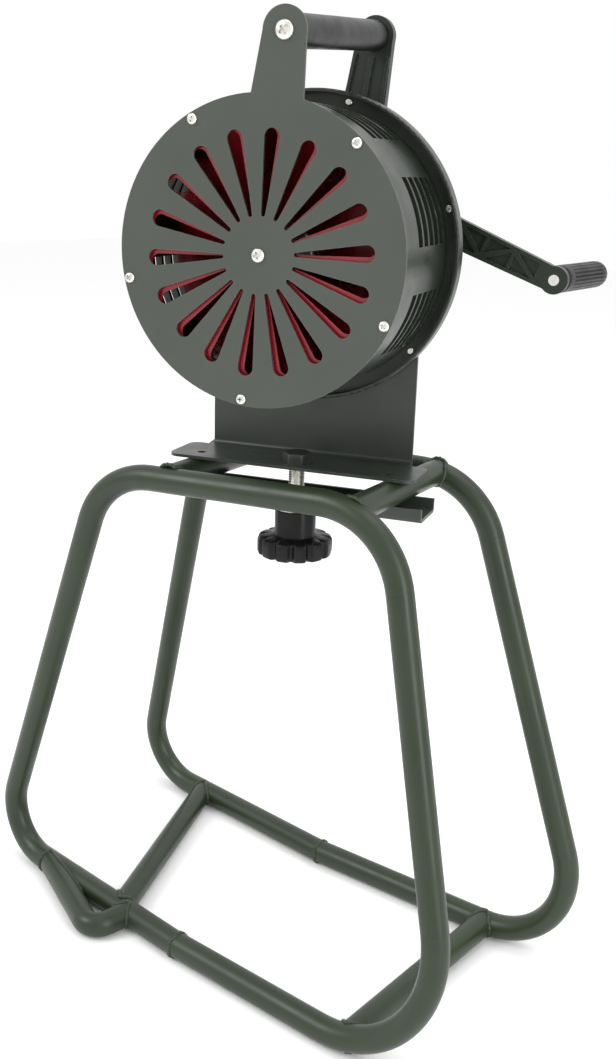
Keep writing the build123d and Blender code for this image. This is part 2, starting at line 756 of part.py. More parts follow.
with BuildPart() as grip_rod:
    with BuildSketch(along_grip(GRIP_LEN + 18.0)):
        Circle(4.0)
    extrude(amount=GRIP_LEN + 18.0 - 17.0)
out(grip_rod, "grip_rod")
with BuildPart() as grip_nut:
    with BuildSketch(along_grip(GRIP_LEN + 9.0 + 6.8)):
        RegularPolygon(6.5, 6, major_radius=False)
    extrude(amount=6.8)
    with BuildSketch(along_grip(GRIP_LEN + 20.5)):
        Circle(5.6)
    extrude(amount=6.0)
    with BuildSketch(along_grip(GRIP_LEN + 18.02)):
        Circle(4.02)
    extrude(amount=14.0, mode=Mode.SUBTRACT)
out(grip_nut, "grip_nut")

# ---------------------------------------------------------------- crank
ARM_F, ARM_B = 100.0, 110.0  # front and rear faces of the arm
ta, tb = ARM_TIP[0], ARM_TIP[1] - CRANK_V
ARM_L = hypot(ta, tb)
arm_dir = (EU * ta + EV * tb).normalized()
arm_up = EV * (ta / ARM_L) - EU * (tb / ARM_L)


def arm_plane(y):
    """Plane of the arm: x along the arm from the crank axis."""
    return Plane(origin=S(0, CRANK_V, y), x_dir=arm_dir, z_dir=-EY)


with BuildPart() as crank_arm:
    with BuildSketch(arm_plane(ARM_B)):
        with BuildLine():
            Polyline((0, 14.5), (ARM_L, 10.2), (ARM_L, -10.2), (0, -14.5), close=True)
        make_face()
        Circle(17.0)
        with Locations((ARM_L, 0)):
            Circle(11.8)
    extrude(amount=ARM_B - ARM_F)
    with BuildSketch(arm_plane(114.0)):
        Circle(15.0)
    extrude(amount=114.0 - 96.6)
    # truss pockets in both faces, with a web between
    bays = 6
    x0, x1 = 22.0, ARM_L - 15.0
    for y_face in (ARM_F + 3.6, ARM_B):
        with BuildSketch(arm_plane(y_face)):
            for k in range(bays):
                a = x0 + (x1 - x0) * k / bays
                b = x0 + (x1 - x0) * (k + 1) / bays
                ha = 14.5 - 4.3 * a / ARM_L - 3.0
                hb = 14.5 - 4.3 * b / ARM_L - 3.0
                m = (a + b) / 2
                g = 1.5
                if k % 2 == 0:
                    tri1 = [(a + g * 1.2, ha), (b - g * 2.2, hb), (a + g * 1.2, -ha + g * 2.6)]
                    tri2 = [(b - g * 0.6, hb - g * 1.4), (b - g * 0.6, -hb), (a + g * 2.4, -ha)]
                else:
                    tri1 = [(a + g * 1.2, -ha), (b - g * 2.2, -hb), (a + g * 1.2, ha - g * 2.6)]
                    tri2 = [(b - g * 0.6, -hb + g * 1.4), (b - g * 0.6, hb), (a + g * 2.4, ha)]
                for tri in (tri1, tri2):
                    with BuildLine():
                        Polyline(*tri, close=True)
                    make_face()
        extrude(amount=3.6, mode=Mode.SUBTRACT)
    with BuildSketch(arm_plane(120.0)):
        Circle(CRANK_R)
        with Locations((ARM_L, 0)):
            Circle(4.5)
    extrude(amount=30.0, mode=Mode.SUBTRACT)
out(crank_arm, "crank_arm")

with BuildPart() as arm_nut:
    with BuildSketch(arm_plane(119.5)):
        RegularPolygon(8.5, 6, major_radius=False)
    extrude(amount=5.5)
    chamfer(arm_nut.faces().sort_by(Axis((0, 0, 0), EY))[-1].edges(), 0.8)
    with BuildSketch(arm_plane(115.02)):
        Circle(CRANK_R + 0.02)
    extrude(amount=1.5, mode=Mode.SUBTRACT)
out(arm_nut, "crank_nut")

# grip pin: leans outward a little, so the hand clears the housing
tip = S(ARM_TIP[0], ARM_TIP[1], ARM_B)
pin_dir = (EY * cos(radians(GRIP_SPLAY)) + EX * sin(radians(GRIP_SPLAY))).normalized()
PIN_L = 98.0
with BuildPart() as grip_pin:
    with BuildSketch(arm_plane(ARM_B)):
        with Locations((ARM_L, 0)):
            Circle(4.5)
    extrude(amount=ARM_B - ARM_F)
    with BuildSketch(Plane(origin=tip - pin_dir * 0.9, z_dir=pin_dir)):
        Circle(4.0)
    extrude(amount=PIN_L)
    with BuildSketch(Plane(origin=tip + pin_dir * 2.4, z_dir=pin_dir)):
        Circle(7.5)
    extrude(amount=1.6)
out(grip_pin, "grip_pin")

GRIP_L = 88.0
with BuildPart() as crank_grip:
    with BuildSketch(Plane(origin=tip + pin_dir * 4.3, x_dir=EV, z_dir=pin_dir)):
        Circle(11.7)
        with PolarLocations(12.4, 20):
            Circle(1.35, mode=Mode.SUBTRACT)
    extrude(amount=GRIP_L)
    with BuildSketch(Plane(origin=tip + pin_dir * 3.0, z_dir=pin_dir)):
        Circle(4.06)
    extrude(amount=GRIP_L + 3, mode=Mode.SUBTRACT)
out(crank_grip, "crank_grip")

with BuildPart() as grip_cap:
    with BuildSketch(Plane(origin=tip + pin_dir * (4.3 + GRIP_L + 0.15), z_dir=pin_dir)):
        Circle(8.5)
    extrude(amount=4.2)
    fillet(grip_cap.edges().filter_by(GeomType.CIRCLE).sort_by(Axis(tip, pin_dir))[-1], 2.4)
    with BuildSketch(Plane(origin=tip + pin_dir * (3.3 + GRIP_L), z_dir=pin_dir)):
        Circle(4.0)
    extrude(amount=PIN_L - 0.9 - 3.3 - GRIP_L, mode=Mode.SUBTRACT)
out(grip_cap, "grip_pin_cap")
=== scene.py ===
import bpy
import bmesh
import json
import os
from math import sin, cos, tan, pi, radians, sqrt, atan2, hypot, acos
from mathutils import Vector, Matrix


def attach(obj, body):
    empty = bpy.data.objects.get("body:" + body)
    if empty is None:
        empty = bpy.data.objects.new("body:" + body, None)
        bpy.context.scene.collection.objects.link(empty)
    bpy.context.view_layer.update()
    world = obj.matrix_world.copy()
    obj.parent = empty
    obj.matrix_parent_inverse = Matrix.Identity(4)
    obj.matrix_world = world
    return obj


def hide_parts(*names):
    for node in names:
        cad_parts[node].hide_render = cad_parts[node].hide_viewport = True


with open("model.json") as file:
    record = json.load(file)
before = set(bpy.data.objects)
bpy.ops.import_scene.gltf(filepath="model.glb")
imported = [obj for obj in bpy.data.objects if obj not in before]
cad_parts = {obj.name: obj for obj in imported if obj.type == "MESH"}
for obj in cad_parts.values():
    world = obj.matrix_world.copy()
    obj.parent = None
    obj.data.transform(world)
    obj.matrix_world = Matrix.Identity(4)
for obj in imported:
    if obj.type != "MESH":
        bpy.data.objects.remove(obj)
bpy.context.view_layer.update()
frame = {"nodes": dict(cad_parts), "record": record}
scene = bpy.context.scene

# ---------------------------------------------------------------- the shared frame, in metres
MM = 0.001
OX, OY = 7.105, -51.212
YAW, ROLL = radians(18.4), radians(6.3)
AX, AZ = 13.74, 612.8
EX = Vector((cos(YAW), sin(YAW), 0))
EY = Vector((-sin(YAW), cos(YAW), 0))
EZ = Vector((0, 0, 1))
EU = EX * cos(ROLL) - EZ * sin(ROLL)
EV = EX * sin(ROLL) + EZ * cos(ROLL)


def W(x, y, z):
    return Vector(((x + OX) * MM, (y + OY) * MM, z * MM))


def H(x, y, z):
    p = EX * x + EY * y
    return Vector(((p.x + OX) * MM, (p.y + OY) * MM, z * MM))


def S(u, v, y):
    return H(AX, y, AZ) + (EU * u + EV * v) * MM


# ---------------------------------------------------------------- materials
class Nodes:
    """Small helper for wiring a node tree."""

    def __init__(self, name):
        self.mat = bpy.data.materials.new(name)
        self.mat.use_nodes = True
        self.t = self.mat.node_tree
        self.bsdf = self.t.nodes["Principled BSDF"]
        self.coord = self.t.nodes.new("ShaderNodeTexCoord").outputs["Object"]

    def add(self, kind, **inputs):
        n = self.t.nodes.new(kind)
        for k, v in inputs.items():
            key = k.replace("_", " ")
            if hasattr(v, "is_linked") or hasattr(v, "links"):
                self.t.links.new(v, n.inputs[key])
            else:
                n.inputs[key].default_value = v
        return n

    def noise(self, scale, detail=3.0, rough=0.55, stretch=None):
        vec = self.coord
        if stretch:
            m = self.t.nodes.new("ShaderNodeMapping")
            m.inputs["Scale"].default_value = stretch
            self.t.links.new(self.coord, m.inputs["Vector"])
            vec = m.outputs["Vector"]
        n = self.t.nodes.new("ShaderNodeTexNoise")
        n.inputs["Scale"].default_value = scale
        n.inputs["Detail"].default_value = detail
        n.inputs["Roughness"].default_value = rough
        self.t.links.new(vec, n.inputs["Vector"])
        return n.outputs["Fac"]

    def ramp(self, fac, stops):
        r = self.t.nodes.new("ShaderNodeValToRGB")
        r.color_ramp.elements[0].position = stops[0][0]
        r.color_ramp.elements[0].color = stops[0][1]
        r.color_ramp.elements[1].position = stops[-1][0]
        r.color_ramp.elements[1].color = stops[-1][1]
        for p, c in stops[1:-1]:
            e = r.color_ramp.elements.new(p)
            e.color = c
        self.t.links.new(fac, r.inputs["Fac"])
        return r.outputs["Color"]

    def span(self, fac, a, b, lo=0.3, hi=0.7):
        m = self.t.nodes.new("ShaderNodeMapRange")
        m.inputs["From Min"].default_value = lo
        m.inputs["From Max"].default_value = hi
        m.inputs["To Min"].default_value = a
        m.inputs["To Max"].default_value = b
        self.t.links.new(fac, m.inputs["Value"])
        return m.outputs["Result"]

    def mix(self, fac, a, b):
        m = self.t.nodes.new("ShaderNodeMix")
        m.data_type = "RGBA"
        for sock, v in ((m.inputs[0], fac), (m.inputs[6], a), (m.inputs[7], b)):
            if isinstance(v, (tuple, list, float, int)):
                sock.default_value = v
            else:
                self.t.links.new(v, sock)
        return m.outputs[2]

    def math(self, op, a, b=0.0):
        m = self.t.nodes.new("ShaderNodeMath")
        m.operation = op
        for sock, v in ((m.inputs[0], a), (m.inputs[1], b)):
            if isinstance(v, (float, int)):
                sock.default_value = v
            else:
                self.t.links.new(v, sock)
        return m.outputs[0]

    def edge(self, radius=0.0008, gain=9.0):
        """1 along sharp edges, 0 on open faces."""
        bv = self.t.nodes.new("ShaderNodeBevel")
        bv.samples = 4
        bv.inputs["Radius"].default_value = radius
        geo = self.t.nodes.new("ShaderNodeNewGeometry")
        dot = self.t.nodes.new("ShaderNodeVectorMath")
        dot.operation = "DOT_PRODUCT"
        self.t.links.new(bv.outputs["Normal"], dot.inputs[0])
        self.t.links.new(geo.outputs["True Normal"], dot.inputs[1])
        one = self.math("SUBTRACT", 1.0, dot.outputs["Value"])
        scaled = self.math("MULTIPLY", one, gain)
        cl = self.t.nodes.new("ShaderNodeClamp")
        self.t.links.new(scaled, cl.inputs["Value"])
        return cl.outputs["Result"]

    def bump(self, height, strength, distance, normal=None):
        b = self.t.nodes.new("ShaderNodeBump")
        b.inputs["Strength"].default_value = strength
        b.inputs["Distance"].default_value = distance
        self.t.links.new(height, b.inputs["Height"])
        if normal is not None:
            self.t.links.new(normal, b.inputs["Normal"])
        return b.outputs["Normal"]

    def plug(self, socket, value):
        s = self.bsdf.inputs[socket]
        if isinstance(value, (float, int, tuple, list)):
            s.default_value = value
        else:
            self.t.links.new(value, s)


def rgba(c, k=1.0):
    return (c[0] * k, c[1] * k, c[2] * k, 1.0)


def paint(name, base, rough, vary=0.10, peel=0.10, wear=0.35, wear_color=(0.16, 0.17, 0.14), coat=0.0, spec=0.5, top_highlight=0.0):
    """Sprayed enamel: soft colour drift, orange peel, fine specks, worn edges; optionally a painted highlight
    lightening the upward-facing faces.
    """
    n = Nodes(name)
    drift = n.noise(9.0, 4.0)
    col = n.ramp(drift, [(0.3, rgba(base, 1 - vary)), (0.5, rgba(base)), (0.72, rgba(base, 1 + vary))])
    speck = n.noise(1300.0, 1.0)
    smask = n.span(speck, 0.0, 1.0, 0.70, 0.76)
    col = n.mix(n.math("MULTIPLY", smask, 0.25), col, rgba(base, 1.8))
    rub = n.noise(240.0, 5.0, 0.7)
    worn = n.math("MULTIPLY", n.edge(), n.span(rub, 0.0, wear, 0.42, 0.62))
    col = n.mix(worn, col, (*wear_color, 1.0))
    # painted highlight: faces turned upwards are mixed towards pale grey, standing in for light falling from above
    if top_highlight:
        geo = n.t.nodes.new("ShaderNodeNewGeometry")
        sep = n.t.nodes.new("ShaderNodeSeparateXYZ")
        n.t.links.new(geo.outputs["Normal"], sep.inputs[0])
        up = n.span(sep.outputs["Z"], 0.0, top_highlight, 0.3, 1.0)
        col = n.mix(n.math("MULTIPLY", up, n.noise(60.0, 4.0)), col, (0.32, 0.32, 0.28, 1))
    n.plug("Base Color", col)
    n.plug("Roughness", n.span(n.noise(34.0, 4.0), rough - 0.05, rough + 0.07))
    n.plug("Specular IOR Level", spec)
    if coat:
        n.plug("Coat Weight", coat)
        n.plug("Coat Roughness", 0.12)
    n1 = n.bump(n.noise(620.0, 2.0), peel, 0.0002)
    n2 = n.bump(n.noise(70.0, 2.0), peel * 0.8, 0.0006, n1)
    n.plug("Normal", n2)
    return n.mat


def metal(name, base, rough, tint=None, brushed=False, scratch=0.15):
    n = Nodes(name)
    drift = n.noise(120.0, 3.0)
    t = tint or base
    col = n.ramp(drift, [(0.3, rgba(base, 0.86)), (0.52, rgba(base)), (0.75, rgba(t, 1.02))])
    grime = n.math("MULTIPLY", n.span(n.noise(420.0, 5.0, 0.7), 0.0, 1.0, 0.56, 0.78), 0.5)
    col = n.mix(grime, col, rgba(base, 0.45))
    n.plug("Base Color", col)
    n.plug("Metallic", 1.0)
    fine = n.noise(1500.0 if not brushed else 500.0, 2.0, 0.6, (1.0, 1.0, 14.0) if brushed else None)
    n.plug("Roughness", n.span(fine, rough - 0.06, rough + 0.10))
    n.plug("Normal", n.bump(fine, scratch, 0.0001))
    return n.mat


def plastic(name, base, rough, grain=900.0, strength=0.25, depth=0.00025, spec=0.3):
    n = Nodes(name)
    n.plug("Specular IOR Level", spec)
    col = n.ramp(n.noise(30.0, 4.0), [(0.3, rgba(base, 0.85)), (0.7, rgba(base, 1.2))])
    scuff = n.math("MULTIPLY", n.span(n.noise(160.0, 6.0, 0.75), 0.0, 1.0, 0.60, 0.78), 0.30)
    col = n.mix(scuff, col, rgba((0.03, 0.03, 0.03)))
    col = n.mix(n.math("MULTIPLY", n.edge(0.0006), 0.25), col, rgba((0.06, 0.06, 0.06)))
    n.plug("Base Color", col)
    n.plug("Roughness", n.span(n.noise(55.0, 3.0), rough - 0.06, rough + 0.08))
    n.plug("Normal", n.bump(n.noise(grain, 2.0), strength, depth))
    return n.mat


M = {
    # the frame paint carries a faint painted highlight on its upward-facing faces
    "frame_paint": paint("frame_paint", (0.018, 0.029, 0.013), 0.36, vary=0.20, peel=0.16, wear=0.25, spec=0.42, top_highlight=0.03),
    "bracket_paint": paint("bracket_paint", (0.030, 0.036, 0.029), 0.34, vary=0.10, peel=0.14, wear=0.5, wear_color=(0.20, 0.20, 0.17)),
    "cover_paint": paint("cover_paint", (0.047, 0.054, 0.045), 0.40, vary=0.07, peel=0.12, wear=0.45, wear_color=(0.22, 0.23, 0.20)),
    "housing_paint": paint("housing_paint", (0.014, 0.019, 0.013), 0.30, vary=0.10, peel=0.10, wear=0.5, wear_color=(0.14, 0.15, 0.12), coat=0.0, spec=0.40),
    "gearbox_casting": paint("gearbox_casting", (0.016, 0.021, 0.016), 0.36, spec=0.35, vary=0.12, peel=0.35, wear=0.5),
    "crank_casting": paint("crank_casting", (0.013, 0.020, 0.012), 0.34, spec=0.35, vary=0.12, peel=0.3, wear=0.5),
    "rotor_paint": paint("rotor_paint", (0.22, 0.004, 0.010), 0.26, vary=0.14, peel=0.12, wear=0.3, wear_color=(0.7, 0.25, 0.22), coat=0.3),
    "zinc_steel": metal("zinc_steel", (0.78, 0.77, 0.72), 0.26, tint=(0.84, 0.80, 0.68)),
    "steel": metal("steel", (0.62, 0.62, 0.62), 0.24, brushed=True),
    "black_plastic": plastic("black_plastic", (0.006, 0.006, 0.006), 0.30, spec=0.22),
    "grip_plastic": plastic("grip_plastic", (0.007, 0.007, 0.008), 0.34, grain=1400.0, strength=0.30, spec=0.25),
    "bronze": metal("bronze", (0.62, 0.40, 0.16), 0.33, tint=(0.50, 0.34, 0.15)),
    "dark_bolt": metal("dark_bolt", (0.10, 0.105, 0.10), 0.38, tint=(0.16, 0.15, 0.12), scratch=0.3),
}

slots = {s["node"]: s["material_slot"] for s in frame["record"]["subparts"]}
for node, obj in frame["nodes"].items():
    m = M[slots[node]]
    if obj.data.materials:
        for k in range(len(obj.data.materials)):
            obj.data.materials[k] = m
    else:
        obj.data.materials.append(m)

# ---------------------------------------------------------------- mesh helpers


def make(name, verts, faces, mat, body, replaces=(), smooth=True, angle=40):
    me = bpy.data.meshes.new(name)
    me.from_pydata([tuple(v) for v in verts], [], faces)
    me.validate()
    o = bpy.data.objects.new(name, me)
    scene.collection.objects.link(o)
    finish_piece(o, mat, body, replaces, smooth, angle)
    return o


def finish_piece(o, mat, body, replaces=(), smooth=True, angle=40):
    bm = bmesh.new()
    bm.from_mesh(o.data)
    bmesh.ops.remove_doubles(bm, verts=bm.verts, dist=1e-6)
    bmesh.ops.recalc_face_normals(bm, faces=bm.faces)
    bm.to_mesh(o.data)
    bm.free()
    if smooth:
        o.data.shade_smooth()
        o.data.set_sharp_from_angle(angle=radians(angle))
    o.data.materials.clear()
    o.data.materials.append(mat)
    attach(o, body)
    if replaces:
        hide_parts(*replaces)


def basis(z, x=None):
    """Rotation whose z column is z and whose x column is near x."""
    z = z.normalized()
    x = (x or (EX if abs(z.dot(EX)) < 0.9 else EZ)).copy()
    x = (x - z * x.dot(z)).normalized()
    y = z.cross(x)
    return Matrix(((x.x, y.x, z.x), (x.y, y.y, z.y), (x.z, y.z, z.z)))


def rings_mesh(rings, cap_start=True, cap_end=True, closed=True):
    """rings: list of equal-length lists of points, joined one to the next."""
    verts, faces = [], []
    n = len(rings[0])
    for r in rings:
        verts.extend(r)
    for i in range(len(rings) - 1):
        for k in range(n if closed else n - 1):
            a, b = i * n + k, i * n + (k + 1) % n
            faces.append((a, b, b + n, a + n))
    if cap_start:
        faces.append(tuple(reversed(range(n))))
    if cap_end:
        faces.append(tuple(range((len(rings) - 1) * n, len(rings) * n)))
    return verts, faces


def lathe(profile, origin, z, seg=64, x=None, shape=None):
    """profile: (radius, height) mm from axis to axis; shape(theta, r, h) may change the radius."""
    R = basis(z, x)
    rings = []
    for r, h in profile:
        ring = []
        for k in range(seg):
            t = 2 * pi * k / seg
            rr = shape(t, r, h) if shape else r
            ring.append(origin + R @ Vector((rr * cos(t), rr * sin(t), h)) * MM)
        rings.append(ring)
    return rings_mesh(rings)


def cut(target, tool):
    """Boolean difference, applied."""
    mod = target.modifiers.new("cut", "BOOLEAN")
    mod.operation = "DIFFERENCE"
    mod.solver = "EXACT"
    mod.object = tool
    bpy.context.view_layer.update()
    dg = bpy.context.evaluated_depsgraph_get()
    me = bpy.data.meshes.new_from_object(target.evaluated_get(dg))
    target.modifiers.clear()
    target.data = me
    bpy.data.objects.remove(tool, do_unlink=True)


def raw(name, verts, faces):
    me = bpy.data.meshes.new(name)
    me.from_pydata([tuple(v) for v in verts], [], faces)
    me.validate()
    o = bpy.data.objects.new(name, me)
    scene.collection.objects.link(o)
    bm = bmesh.new()
    bm.from_mesh(me)
    bmesh.ops.recalc_face_normals(bm, faces=bm.faces)
    bm.to_mesh(me)
    bm.free()
    return o


def join(objs, name):
    verts, faces = [], []
    for o in objs:
        base = len(verts)
        verts.extend([v.co.copy() for v in o.data.vertices])
        faces.extend([tuple(i + base for i in p.vertices) for p in o.data.polygons])
        bpy.data.objects.remove(o, do_unlink=True)
    me = bpy.data.meshes.new(name)
    me.from_pydata([tuple(v) for v in verts], [], faces)
    me.validate()
    o = bpy.data.objects.new(name, me)
    scene.collection.objects.link(o)
    return o


def phillips(origin, out_dir, head_r, head_h, shank_r, shank_l, turn):
    """Domed cross-recess screw head with its shank, standing on origin."""
    dome = [(0.0001, -shank_l), (shank_r * 0.8, -shank_l), (shank_r, -shank_l + 0.6), (shank_r, 0.0), (head_r - 0.15, 0.0), (head_r, 0.25)]
    steps = 9
    for k in range(1, steps):
        t = k / steps * pi / 2
        dome.append((head_r * cos(t) ** 0.62, 0.25 + (head_h - 0.25) * sin(t)))
    dome.append((0.0001, head_h))
    v, f = lathe(dome, origin, out_dir, 48)
    body = raw("screw", v, f)
    R = basis(out_dir) @ Matrix.Rotation(turn, 3, "Z")
    for k in range(2):
        Rk = R @ Matrix.Rotation(k * pi / 2, 3, "Z")
        L, wd, dp = head_r * 0.60, head_r * 0.13, head_h * 0.85
        pts = []
        for h, ll, ww in ((head_h + 0.6, L * 1.0, wd * 1.2), (head_h - dp, L * 0.62, wd * 0.9)):
            for sx, sy in ((-1, -1), (1, -1), (1, 1), (-1, 1)):
                pts.append(origin + Rk @ Vector((sx * ll, sy * ww, h)) * MM)
        tool = raw("tool", pts, [(0, 3, 2, 1), (4, 5, 6, 7), (0, 1, 5, 4), (1, 2, 6, 5), (2, 3, 7, 6), (3, 0, 4, 7)])
        cut(body, tool)
    return body


# ---------------------------------------------------------------- screws on the front cover
FRONT = -105.0
SCREW_R, SCREW_START = 107.9, 54.0
heads = []
for k in range(5):
    a = radians(SCREW_START + 72 * k)
    heads.append(phillips(S(SCREW_R * cos(a), SCREW_R * sin(a), FRONT), -EY, 4.0, 2.2, 1.65, 13.5, 0.4 + 0.9 * k))
finish_piece(join(heads, "cover_screw_heads"), M["zinc_steel"], "head", ("cover_screws",), angle=30)
c = phillips(S(0, 0, FRONT), -EY, 5.3, 2.8, 2.95, 5.3, 0.25)
finish_piece(join([c], "centre_screw_head"), M["zinc_steel"], "head", ("centre_screw",), angle=30)
c = phillips(S(0, 154.0, FRONT), -EY, 6.9, 3.2, 3.9, 15.0, 0.7)
finish_piece(join([c], "ear_screw_head"), M["zinc_steel"], "head", ("ear_screw",), angle=30)

# ---------------------------------------------------------------- clamp bolt with a real thread
BX, BY = 16.0, -19.0
FL_TOP = 439.8
CH_TOP, CH_H = 414.7, 11.6
WASH_Z = CH_TOP - CH_H - 2.6
KNOB_TOP = WASH_Z - 0.02
bolt_o = H(BX, BY, 0)
PITCH, R_OUT, R_IN = 2.0, 6.85, 5.75
rings = []
z0, z1 = 366.0, FL_TOP + 0.5
seg, per = 40, 8
count = int((z1 - z0) / PITCH * per)
for i in range(count + 1):
    z = z0 + (z1 - z0) * i / count
    ring = []
    for k in range(seg):
        t = 2 * pi * k / seg
        ph = ((z / PITCH) - k / seg) % 1.0
        tri = abs(ph - 0.5) * 2
        r = R_IN + (R_OUT - R_IN) * min(1.0, max(0.0, tri * 1.25))
        if z - z0 < 1.2:
            r = min(r, R_IN + (z - z0) * 0.9)
        ring.append(bolt_o + Vector((r * cos(t), r * sin(t), z)) * MM)
    rings.append(ring)
v, f = rings_mesh(rings)
shank = raw("shank", v, f)
hexr = 10.5 / cos(pi / 6)
rot = YAW + radians(12 + 30)


def hexcut(t, r, h):
    lim = 10.5 / cos(((t + pi / 6) % (pi / 3)) - pi / 6)
    return min(r, lim)


prof = [(0.0001, FL_TOP + 0.02), (hexr, FL_TOP + 0.02), (hexr, FL_TOP + 7.6)]
for k in range(1, 6):
    prof.append((hexr - 1.75 * k / 5, FL_TOP + 7.6 + 1.42 * (k / 5) ** 0.7))
prof.append((0.0001, FL_TOP + 9.02))
v, f = lathe(prof, H(BX, BY, 0), EZ, 96, Vector((cos(rot), sin(rot), 0)), hexcut)
hexo = raw("hex", v, f)
o = join([shank, hexo], "clamp_bolt_threaded")
finish_piece(o, M["dark_bolt"], "clamp", ("clamp_bolt",), angle=28)
# the free shank reads as bare zinc
o.data.materials.append(M["zinc_steel"])
for p in o.data.polygons:
    if p.center.z < (FL_TOP - 0.5) * MM:
        p.material_index = 1

# ---------------------------------------------------------------- star knob


def lobes(t, r, h):
    d = h - (KNOB_TOP - 41.0)
    if r < 20.5 or d > 18.0:
        return r
    c = cos(12 * t)
    g = max(0.0, -c) ** 1.4
    return r - g * 3.4 * min(1.0, (r - 20.0) / 8.0)


zb = KNOB_TOP - 41.0
prof = [(0.0001, zb + 1.4), (9.0, zb + 1.4), (10.0, zb + 0.2), (14.0, zb), (25.0, zb), (29.0, zb + 0.5), (31.0, zb + 1.6), (31.8, zb + 3.6), (31.9, zb + 7.0), (31.9, zb + 11.5), (31.7, zb + 14.2), (30.6, zb + 16.0), (28.0, zb + 17.0), (24.0, zb + 17.4), (19.6, zb + 17.6), (18.0, zb + 18.2), (17.4, zb + 19.6), (17.4, KNOB_TOP - 1.6), (16.9, KNOB_TOP - 0.5), (15.9, KNOB_TOP), (6.96, KNOB_TOP), (6.96, KNOB_TOP - 28.0), (0.0001, KNOB_TOP - 28.0)]
v, f = lathe(prof, H(BX, BY, 0), EZ, 288, EX, lobes)
make("star_knob", v, f, M["black_plastic"], "knob", ("clamp_knob",), angle=35)

# ---------------------------------------------------------------- crank grip
TIP = S(184.0, -1.5, 110.0)
SPLAY = radians(14.0)
PD = (EY * cos(SPLAY) + EX * sin(SPLAY)).normalized()
GL = 88.0


def flutes(t, r, h):
    if r < 8.5:
        return r
    d = (h - 4.3) / GL
    fade = min(1.0, max(0.0, (d - 0.09) / 0.05)) * min(1.0, max(0.0, (0.95 - d) / 0.05))
    return r - fade * 0.95 * max(0.0, -cos(22 * t)) ** 0.8


prof = [(4.06, 4.4), (9.8, 4.4), (11.0, 4.8), (11.6, 5.8), (11.7, 8.0)]
for k in range(0, 25):
    prof.append((11.7, 11.0 + (GL - 16.0) * k / 24))
prof += [(11.6, GL - 1.0), (11.2, GL + 1.2), (10.2, GL + 3.0), (8.9, GL + 4.0), (7.6, GL + 4.28), (4.06, GL + 4.28)]
R = basis(PD, EV)
rings = []
for r, h in prof:
    rings.append([TIP + R @ Vector((flutes(2 * pi * k / 176, r, h) * cos(2 * pi * k / 176), flutes(2 * pi * k / 176, r, h) * sin(2 * pi * k / 176), h)) * MM for k in range(176)])
rings.append(rings[0])
v, f = rings_mesh(rings, False, False)
make("crank_grip_fluted", v, f, M["grip_plastic"], "grip", ("crank_grip",), angle=50)

# ---------------------------------------------------------------- weld beads
TW = radians(8.7)


def T(x, y, z):
    return W(x * cos(TW) - y * sin(TW), x * sin(TW) + y * cos(TW), z)


N_WELD, F_WELD = W(-13.4, -119.7, 11), W(-13.4, 85.0, 11)
N_BR, N_BL = W(274.6, -120.0, 11), W(-281.3, -102.0, 11)
F_BR, F_BL = W(279.6, 96.9, 11), W(-281.2, 102.6, 11)
N_TL, N_TR = T(-135.5, -79.4, 421.0), T(139.5, -79.4, 431.0)
F_TL, F_TR = T(-138.5, 79.4, 426.0), T(143.0, 79.4, 426.0)


def bent(points, radii):
    out, at = [], points[0]
    for i in range(1, len(points) - 1):
        a, b, c = points[i - 1], points[i], points[i + 1]
        u, v = (a - b).normalized(), (c - b).normalized()
        half = acos(max(-1, min(1, u.dot(v)))) / 2
        r = radii[i - 1] * MM
        t = r / tan(half)
        p0, p1 = b + u * t, b + v * t
        centre = b + (u + v).normalized() * (r / sin(half))
        out.append((at, p0))
        e0, e1 = (p0 - centre), (p1 - centre)
        ang = e0.angle(e1)
        axis = e0.cross(e1).normalized()
        prev = p0
        n = 24
        for k in range(1, n + 1):
            q = centre + Matrix.Rotation(ang * k / n, 3, axis) @ e0
            out.append((prev, q))
            prev = q
        at = p1
    out.append((at, points[-1]))
    return out


near_runs = bent([N_WELD, N_BR, N_TR, N_TL, N_BL, N_WELD], [95.0, 78.0, 75.0, 46.0])
far_runs = bent([F_WELD, F_BR, F_TR, F_TL, F_BL, F_WELD], [73.0, 75.0, 75.0, 50.0])


def dist_runs(p, runs):
    best = 9.0
    for a, b in runs:
        ab = b - a
        t = max(0.0, min(1.0, (p - a).dot(ab) / ab.length_squared))
        best = min(best, (p - (a + ab * t)).length)
    return best


def ripple(i, n, seed):
    return 0.16 * sin(i * 2 * pi / 5.0 + seed) + 0.10 * sin(i * 1.7 + seed * 3.1) + 0.07 * sin(i * 0.41 + seed)


def bead(path, normals, size, seed):
    """A lumpy fillet of weld metal along a closed path."""
    n = len(path)
    rings = []
    for i in range(n):
        tan_ = (path[(i + 1) % n] - path[i - 1]).normalized()
        nn = normals[i] - tan_ * normals[i].dot(tan_)
        nn.normalize()
        bb = tan_.cross(nn)
        s = size * (1 + ripple(i, n, seed)) * MM
        rings.append([path[i] + (nn * cos(a) * 0.85 + bb * sin(a)) * s for a in [2 * pi * k / 10 for k in range(10)]])
    rings.append(rings[0])
    return rings_mesh(rings, False, False)


def saddle(end, other, runs, size, seed, name, body="stand"):
    """Bead where a tube from other to end meets the runs."""
    d = (end - other).normalized()
    R = basis(d)
    n = 96
    path, normals = [], []
    for k in range(n):
        a = 2 * pi * k / n
        off = R @ Vector((cos(a), sin(a), 0)) * (11.3 * MM)
        lo, hi = (end - other).length * 0.4, (end - other).length
        for _ in range(26):
            mid = (lo + hi) / 2
            if dist_runs(other + d * mid + off, runs) > 11.2 * MM:
                lo = mid
            else:
                hi = mid
        path.append(other + d * lo + off)
        normals.append((off.normalized() - d * 0.8).normalized())
    v, f = bead(path, normals, size, seed)
    v = [Vector((q.x, q.y, max(q.z, 0.0001))) for q in v]
    make(name, v, f, M["frame_paint"], body, (), angle=60)


def on_line(a, b, x):
    xx = (x + OX) * MM
    s = (xx - a.x) / (b.x - a.x)
    return a + (b - a) * s


